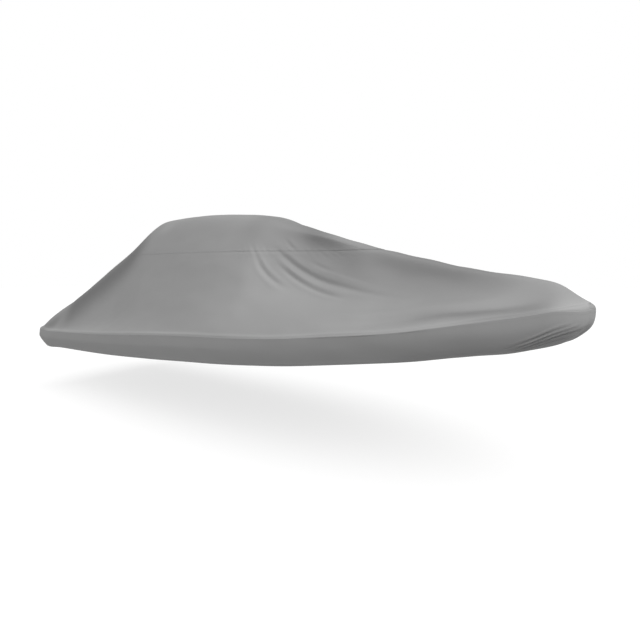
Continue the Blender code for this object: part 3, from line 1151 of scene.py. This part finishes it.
def crease_indices(rows: int, columns: int) -> Array:
    """Grid indices round the gunwale crease: up to starboard, down to port, across the stern."""
    up, back = np.arange(rows), np.arange(rows - 2, -1, -1)
    stern = np.arange(columns - 2, 0, -1)
    row = np.concatenate([up, back, np.zeros(len(stern), int)])
    column = np.concatenate([np.zeros(rows, int), np.full(len(back), columns - 1), stern])
    return np.stack([row, column], axis=1)


def outward(loop: Array) -> Array:
    """Level unit vectors out of a closed line that runs anticlockwise from above."""
    tangent = np.roll(loop, -1, axis=0) - np.roll(loop, 1, axis=0)
    return unit(np.stack([tangent[:, 1], -tangent[:, 0], np.zeros(len(loop))], axis=1))


@dataclass
class SkirtBand:
    """The band below the gunwale: upright, then tucked in, and swept round under at the bow."""

    form: CoverForm
    spacing: float = 0.032
    fine_spacing: float = 0.011
    fine_places: tuple[tuple[float, float], ...] = ((0.0, 0.16), (7.9, 8.27))
    fine_fade: float = 0.1
    corner_reach: float = 0.15
    side_points: int = 3001
    stern_points: int = 801
    rows: int = 38
    hem_rows: int = 6
    hem_break: tuple[float, float] = (0.42, 0.26)
    break_moves: tuple[float, float] = (4.6, 6.4)
    break_softness: tuple[float, float] = (0.10, 0.90)
    bow_round: float = 0.8
    bow_sweep: tuple[float, float] = (6.3, 7.9)
    bulge: float = 0.010
    stern_bulge: float = 0.012
    stern_end: tuple[float, float] = (0.0, 0.8)
    bow_end: tuple[float, float] = (7.6, 8.2)
    over_lip: float = 0.0015
    starts_above: float = 0.003
    bow_lap: float = 0.60
    rim_share: float = 0.004
    hem_share: float = 0.10
    hem_gap: float = 0.012
    hem_step: float = 0.0013
    gather_fade: float = 0.6
    wave_depth: float = 0.003
    wave_size: float = 0.55
    wave_fade: float = 0.35
    # Painted shade towards the hem, forward and more at the bow.
    grime: float = 0.14
    bow_grime: float = 0.12
    grime_band: tuple[float, float] = (0.06, 0.30)
    grime_from: tuple[float, float] = (6.6, 7.5)
    # Where the painted highlight on the bow tip begins, and how much it lifts the colour.
    tip_from: tuple[float, float] = (7.9, 8.2)
    tip_pale: float = 0.14
    edge_stitches: int = 2
    hem_stitches: int = -6
    flat_size: tuple[float, float] = (19.6, 0.38)
    flat_area: float = 7.3

    def __post_init__(self) -> None:
        """Traces the crease, reads the hem's place below it and sets the rows' shares of the depth.

        A row lies close inside each edge, and a close pair of rows makes the hem's step.
        """
        self.line = self._crease()
        self.x, self.out = self.line[:, 0], outward(self.line)
        self.run = run_along(np.concatenate([self.line, self.line[:1]]))
        self.hem = {name: size(self.x) for name, size in courses(HEM, self.form.softness).items()}
        hem_top = 1 - self.hem_share
        self.t = np.concatenate([
            [0.0],
            np.linspace(self.rim_share, hem_top - self.hem_gap, self.rows),
            np.linspace(hem_top, 1 - self.rim_share, self.hem_rows),
            [1.0],
        ])[None, :]

    def build(self, material: Material, thread: Material) -> Object:
        """Makes the band, and a row of stitches along its upper edge and one above its hem.

        Args:
            material: its finish.
            thread: the stitches' finish.

        Returns:
            The piece.
        """
        origin, rings = self.form.mount(), self._rings()
        surface = Surface.from_grid(rings, self._flat_places(), self._wear(), closed=True)
        mesh = surface.turned().mesh("skirt_cloth_mesh", origin)
        piece = add_piece("skirt_cloth", mesh, material)
        give_thickness(piece)
        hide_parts("skirt_band")
        edge, hem = (
            self._stitch_row(rings - origin, row) for row in (self.edge_stitches, self.hem_stitches)
        )
        sewn = (edge + hem).mesh("skirt_stitches_mesh", np.zeros(3))
        stitches = add_piece("skirt_stitches", sewn, thread)
        return piece

    def _crease(self) -> Array:
        """The gunwale crease as a closed line, finer round the stern corners and the bow.

        The line is first traced finely, and is then read at places whose spacing follows the
        wanted one: even steps of the running total of length over spacing.

        Returns:
            Points by 3, anticlockwise from above.
        """
        x = self.form.length * (1 - np.cos(np.linspace(0, math.pi, self.side_points))) / 2
        beam = self.form.half_beam(x)
        across = np.linspace(1, -1, self.stern_points)[1:-1] * beam[0]
        plan = np.concatenate([
            np.stack([x, -beam], axis=1),
            np.stack([x, beam], axis=1)[-2::-1],
            np.stack([0 * across, across], axis=1),
        ])
        fade, along = self.fine_fade, plan[:, 0]
        fine = sum(
            smooth_step(low - fade, low, along) * (1 - smooth_step(high, high + fade, along))
            for low, high in self.fine_places
        )
        corner = bell(np.abs(plan[:, 1]) - beam[0], self.corner_reach)
        fine = np.where(along < TINY, corner, fine)
        step = np.linalg.norm(np.roll(plan, -1, axis=0) - plan, axis=1)
        spacing = blend(self.spacing, self.fine_spacing, np.clip(fine, 0, 1))
        total = np.concatenate([[0.0], np.cumsum(step / spacing)])
        wanted = np.linspace(0, total[-1], int(total[-1]) + 1)[:-1]
        closed = np.concatenate([plan, plan[:1]])
        x, y = (np.interp(wanted, total, closed[:, k]) for k in range(2))
        return np.stack([x, y, self.form.height(x, y)], axis=1)

    def _ahead_of(self, span: tuple[float, float]) -> Array:
        """0 aft of a span of the length and 1 ahead of it, for each point of the crease."""
        return smooth_step(*span, self.x)[:, None]

    def _gathers(self) -> Array:
        """Depth of the bow gathers: each is a fold's section that fades at both ends of its path.

        Returns:
            Points by shares.
        """
        total = 0.0
        for gather in GATHERS:
            x, low = np.array(gather.path).T
            centre = monotone_cubic(x, low, np.clip(self.x, x[0], x[-1]))[:, None]
            share = np.clip((self.x[:, None] - x[0]) / (x[-1] - x[0]), 0, 1)
            on_side = (self.line[:, 1:2] > 0) == (gather.side is Side.PORT)
            fade = np.sin(math.pi * share) ** self.gather_fade * on_side
            section = fold_section(self.t - centre, gather.width, gather.lips)
            total = total + gather.depth * fade * section
        return total

    def _tuck(self) -> Array:
        """How far in each row lies: 0 above the break, then a ramp to 1 at the hem.

        The ramp's corner is soft: it is the run past the break plus the root of its square plus
        the softness squared, scaled to end at 0 and 1. Forward the break is higher and softer.

        Returns:
            Points by shares.
        """
        forward = self._ahead_of(self.break_moves)
        broken, soft = blend(*self.hem_break, forward), blend(*self.break_softness, forward)
        run, first = (self.t - broken) / (1 - broken), -broken / (1 - broken)
        ramp = run + np.hypot(run, soft)
        start, end = first + np.hypot(first, soft), 1 + np.hypot(1, soft)
        return (ramp - start) / (end - start)

    def _sweep(self) -> tuple[Array, Array]:
        """How much of the way to the hem each row has gone, level and down.

        Aft, down is the share of the depth. At the bow it is a power of a quarter turn's sine, and
        level is 1 less its cosine to the same power, bow_round.

        Returns:
            Both, points by shares.
        """
        bow, angle = self._ahead_of(self.bow_sweep), 0.5 * math.pi * self.t
        level = (1 - bow) * self._tuck() + bow * (1 - np.abs(np.cos(angle)) ** self.bow_round)
        return level, (1 - bow) * self.t + bow * np.sin(angle) ** self.bow_round

    def _towards_hem(self) -> Array:
        """The level way from each point of the crease to the hem.

        It goes aft, and inward times room / hypot(inward / 2, room), where room is the distance to
        the centreline, so that the two sides never cross.

        Returns:
            Points by 3.
        """
        y, inward = self.line[:, 1], self.hem["inward"]
        kept = inward * np.abs(y) / np.hypot(inward * 0.5 + TINY, np.abs(y))
        beam = np.maximum(self.form.half_beam(self.x), TINY)
        return np.stack([-self.hem["aft"], -kept * np.clip(y / beam, -1, 1), 0 * self.x], axis=1)

    def _stands_out(self) -> Array:
        """How far the cloth stands out: a bulge, soft waves and the hem, less the gathers.

        Returns:
            Points by shares.
        """
        hump = np.sin(math.pi * self.t)
        bulge = (self.bulge + self.stern_bulge * (1 - self._ahead_of(self.stern_end))) * hump
        depth = 2 * self.t * self.hem["drop"][:, None]
        wave = self.wave_depth * ripples(self.run[:-1, None], depth, self.wave_size, seed=21)
        around = np.arctan2(self.line[:, 1], self.x - self.form.length / 2)[:, None]
        wave = wave * hump * smooth_step(0.0, self.wave_fade, math.pi - np.abs(around))
        hem = self.hem_step * (self.t >= 1 - self.hem_share)
        return bulge + wave + hem - self._gathers()

    def _rings(self) -> Array:
        """The band's points by shares by 3, from its lap over the rolled edge down to the hem."""
        lap = blend(1, self.bow_lap, self._ahead_of(self.break_moves))
        start = EdgeRoll(self.form).rings(self.line)[-2]
        start = start + lap * (self.out * self.over_lip + [0, 0, self.starts_above])
        level, down = self._sweep()
        rings = start[:, None, :] + level[..., None] * self._towards_hem()[:, None, :]
        rings[..., 2] -= down * (self.hem["drop"] + start[:, 2] - self.line[:, 2])[:, None]
        return rings + self._stands_out()[..., None] * self.out[:, None, :]

    def _flat_places(self) -> Array:
        """Each point's place on the flat cloth: run along the crease, and depth below it."""
        depth = self.t * np.append(self.hem["drop"], self.hem["drop"][0])[:, None]
        return np.stack([np.broadcast_to(self.run[:, None], depth.shape), depth], axis=-1)

    def _wear(self) -> Array:
        """The share of colour: painted shade towards the hem forward, and a painted highlight on the tip
        above it.
        """
        low = smooth_step(*self.grime_band, self.t)
        grime = self.grime * self._ahead_of(self.grime_from)
        grime = grime + self.bow_grime * self._ahead_of(self.bow_end)
        return 1 - grime * low + self.tip_pale * self._ahead_of(self.tip_from) * (1 - low)

    @staticmethod
    def _stitch_row(rings: Array, row: int) -> Surface:
        """Stitches along one row of the band, on the normal from its two central differences."""
        line = rings[:, row]
        along = np.roll(line, -1, axis=0) - np.roll(line, 1, axis=0)
        normal = unit(np.cross(rings[:, row + 1] - rings[:, row - 1], along))
        return StitchRow().surface(line, normal)


class Val:
    """A number that varies over a surface: a socket whose operators add Math nodes."""

    def __init__(self, nodes: "Nodes", socket: NodeSocket) -> None:
        """Keeps the socket and the tree that it is in."""
        self.nodes = nodes
        self.socket = socket

    def _math(self, operation: str, first: "Val | float", second: "Val | float") -> "Val":
        """One Math node on two values."""
        made = self.nodes.node("ShaderNodeMath", {"operation": operation}, {0: first, 1: second})
        return Val(self.nodes, made.outputs[0])

    def __add__(self, other: "Val | float") -> "Val":
        """self + other."""
        return self._math("ADD", self, other)

    def __radd__(self, other: "Val | float") -> "Val":
        """other + self."""
        return self._math("ADD", other, self)

    def __sub__(self, other: "Val | float") -> "Val":
        """self - other."""
        return self._math("SUBTRACT", self, other)

    def __rsub__(self, other: "Val | float") -> "Val":
        """other - self."""
        return self._math("SUBTRACT", other, self)

    def __mul__(self, other: "Val | float") -> "Val":
        """self * other."""
        return self._math("MULTIPLY", self, other)

    def __rmul__(self, other: "Val | float") -> "Val":
        """other * self."""
        return self._math("MULTIPLY", other, self)

    def sine(self) -> "Val":
        """The sine of the value."""
        return self._math("SINE", self, 0.0)


class Nodes:
    """The shader tree of one new material."""

    def __init__(self, name: str) -> None:
        """Makes the material and finds its shader."""
        self.material = bpy.data.materials.new(name)
        self.material.use_nodes = True
        self.tree = self.material.node_tree
        self.shader = self.tree.nodes["Principled BSDF"]

    def node(self, kind: str, settings: dict | None = None, sockets: dict | None = None) -> Node:
        """Adds a node.

        Args:
            kind: the node's type.
            settings: its own properties, which are set first.
            sockets: for each input, by name or number, a value, a socket or a Val to link.

        Returns:
            The node.
        """
        made = self.tree.nodes.new(kind)
        for name, value in (settings or {}).items():
            setattr(made, name, value)
        self.feed(made, sockets or {})
        return made

    def feed(self, made: Node, sockets: dict) -> None:
        """Links a socket or Val to each named input of a node, or sets the input's own value."""
        for name, value in sockets.items():
            source = value.socket if isinstance(value, Val) else value
            if isinstance(source, NodeSocket):
                self.tree.links.new(source, made.inputs[name])
            else:
                made.inputs[name].default_value = source

    def finish(self, greys: tuple[float, float], shade: Val, height: Val, roughness: float) -> None:
        """Gives the shader its colour, bump and roughness.

        Args:
            greys: the darkest and the palest grey.
            shade: where the colour lies between them, from 0 to 1.
            height: the bump's height in metres.
            roughness: the roughness all over.
        """
        dark, pale = ((grey, grey, grey, 1.0) for grey in greys)
        colour = self.node("ShaderNodeMix", {"data_type": "RGBA"}, {0: shade, 6: dark, 7: pale})
        bump = self.node("ShaderNodeBump", None, {"Strength": 1.0, "Distance": 1.0, "Height": height})
        self.feed(self.shader, {
            "Base Color": colour.outputs[2], "Normal": bump.outputs[0], "Roughness": roughness,
        })

    def noise(self, place: NodeSocket, size: float, detail: float = 2.0) -> Val:
        """Smooth noise of about 0 to 1 whose patches are about size across."""
        sockets = {"Vector": place, "Scale": 1 / size, "Detail": detail}
        return Val(self, self.node("ShaderNodeTexNoise", None, sockets).outputs[0])


@dataclass(frozen=True)
class ClothFinish:
    """Matt grey coated polyester: its colour, its plain weave and its small wrinkles."""

    name: str
    grey: float
    roughness: float = 0.62
    thread: float = 0.0012
    thread_depth: float = 0.00005
    wrinkle_size: float = 0.11
    wrinkle_depth: float = 0.0012
    mottle_size: float = 0.35
    mottle: float = 0.05
    speck_size: float = 0.006
    speck: float = 0.03

    def material(self) -> Material:
        """Makes the material: a mottled grey, with weave and wrinkles as one bump."""
        nodes = Nodes(self.name)
        place = nodes.node("ShaderNodeTexCoord").outputs["Object"]
        flat = nodes.node("ShaderNodeUVMap", {"uv_map": FLAT_MAP}).outputs["UV"]
        thread = nodes.node("ShaderNodeSeparateXYZ", None, {"Vector": flat})
        rate = math.pi / self.thread
        warp, weft = (Val(nodes, thread.outputs[k]) * rate for k in range(2))
        weave = warp.sine() * weft.sine()
        wrinkle = nodes.noise(place, self.wrinkle_size, detail=1.0)
        height = weave * self.thread_depth + wrinkle * self.wrinkle_depth
        cloudy = (nodes.noise(place, self.mottle_size) - 0.5) * self.mottle
        specks = (nodes.noise(place, self.speck_size) - 0.5) * self.speck
        # The painted shade and painted highlights scale the mottled grey here.
        wear = Val(nodes, nodes.node("ShaderNodeAttribute", {"attribute_name": PAINTED_SHADING_MAP}).outputs["Fac"])
        shade = (cloudy + specks + 1.0) * wear - 0.5
        nodes.finish((self.grey * 0.5, self.grey * 1.5), shade, height, self.roughness)
        return nodes.material


@dataclass(frozen=True)
class ThreadFinish:
    """Grey polyester thread, a little darker than the cloth and uneven along its length."""

    name: str
    grey: float = 0.20
    roughness: float = 0.5
    fibre: float = 0.0012
    fibre_depth: float = 0.0002

    def material(self) -> Material:
        """Makes the material: a mottled grey with a fine bump."""
        nodes = Nodes(self.name)
        place = nodes.node("ShaderNodeTexCoord").outputs["Object"]
        fibres = nodes.noise(place, self.fibre)
        greys = (self.grey * 0.7, self.grey * 1.3)
        nodes.finish(greys, fibres, fibres * self.fibre_depth, self.roughness)
        return nodes.material


@dataclass
class Studio:
    """The pale floor, the soft light and the camera at the photograph's place."""

    origin: Array
    camera_place: tuple[float, float, float] = (8.40, -4.51, 2.07)
    camera_turn: float = 34.8
    horizon_above_middle: float = 48.0
    focal_pixels: float = 420.0
    image_width: float = 640.0
    sensor: float = 36.0
    floor_radius: float = 60.0
    floor_sides: int = 64
    floor_roughness: float = 0.9
    floor_grey: float = 0.28
    floor_glow: float = 0.72
    sky_seen: float = 1.0
    sky_light: float = 0.36
    sun: float = 3.3
    sun_direction: tuple[float, float, float] = (-0.50, 0.28, -0.82)
    sun_angle: float = 90.0

    def build(self) -> None:
        """Makes the camera, the floor, the sky and the light."""
        self._camera()
        self._floor()
        self._light()

    def _camera(self) -> None:
        """A level camera, pitched down by the horizon's distance above the middle."""
        turn = math.radians(self.camera_turn)
        pitch = math.atan(self.horizon_above_middle / self.focal_pixels)
        ahead = Vector((
            -math.sin(turn) * math.cos(pitch), math.cos(turn) * math.cos(pitch), -math.sin(pitch)
        ))
        right = Vector((math.cos(turn), math.sin(turn), 0))
        up = right.cross(ahead)
        lens = bpy.data.cameras.new("photo_view")
        lens.sensor_width = self.sensor
        lens.lens = self.focal_pixels / self.image_width * self.sensor
        camera = bpy.data.objects.new("photo_view", lens)
        place = Vector(self.camera_place) - Vector(self.origin)
        rows = [(right[k], up[k], -ahead[k], place[k]) for k in range(3)]
        camera.matrix_world = Matrix((*rows, (0, 0, 0, 1)))
        bpy.context.scene.collection.objects.link(camera)
        bpy.context.scene.camera = camera

    def _floor(self) -> None:
        """A wide pale disc on the ground that glows, and that the cover gets no soft light from."""
        mesh = bpy.data.meshes.new("pale_floor")
        with edited(mesh) as shape:
            bmesh.ops.create_circle(
                shape, cap_ends=True, radius=self.floor_radius, segments=self.floor_sides
            )
        floor = bpy.data.objects.new("pale_floor", mesh)
        floor.location = (0, 0, -self.origin[2])
        nodes = Nodes("pale_floor")
        grey = self.floor_grey
        nodes.feed(nodes.shader, {
            "Base Color": (grey, grey, grey, 1.0),
            "Roughness": self.floor_roughness,
            "Emission Color": (1.0, 1.0, 1.0, 1.0),
            "Emission Strength": self.floor_glow,
        })
        mesh.materials.append(nodes.material)
        bpy.context.scene.collection.objects.link(floor)
        floor.visible_diffuse = False

    def _light(self) -> None:
        """An even sky, seen white and lighting softly, and one very soft sun from above the bow."""
        world = bpy.data.worlds.new("white_sky")
        world.use_nodes = True
        tree = world.node_tree
        seen = tree.nodes.new("ShaderNodeLightPath").outputs["Is Camera Ray"]
        strength = tree.nodes.new("ShaderNodeMix")
        strength.inputs[2].default_value = self.sky_light
        strength.inputs[3].default_value = self.sky_seen
        tree.links.new(seen, strength.inputs[0])
        background = tree.nodes["Background"]
        background.inputs["Color"].default_value = (1.0, 1.0, 1.0, 1.0)
        tree.links.new(strength.outputs[0], background.inputs["Strength"])
        bpy.context.scene.world = world
        bpy.context.scene.view_settings.view_transform = "Standard"
        light = bpy.data.lights.new("soft_sun", "SUN")
        light.energy = self.sun
        light.angle = math.radians(self.sun_angle)
        lamp = bpy.data.objects.new("soft_sun", light)
        lamp.rotation_euler = Vector(self.sun_direction).to_track_quat("-Z", "Y").to_euler()
        bpy.context.scene.collection.objects.link(lamp)


def main() -> None:
    """Builds the cover and the studio."""
    logging.basicConfig(level=logging.INFO, format="%(name)s: %(message)s")
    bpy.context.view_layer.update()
    form = CoverForm()
    studio = Studio(form.mount())
    studio.build()
    grid = TopGrid(form)
    seam = Seam(form)
    relief = TopRelief(grid, seam)
    points, wear = relief.points(), relief.wear()
    LOG.info("top grid: %d by %d points", *grid.x.shape)
    thread = ThreadFinish("grey_thread").material()
    CrownPanel(grid, seam, points, wear).build(ClothFinish("crown_cloth", 0.26).material(), thread)
    DeckPanel(grid, points, wear).build(ClothFinish("deck_cloth", 0.26).material())
    # The skirt's grey is a little darker than the top's, a painted shade for its upright and tucked-in
    # faces.
    SkirtBand(form).build(ClothFinish("skirt_cloth", 0.25).material(), thread)


if __name__ == "__main__":
    main()
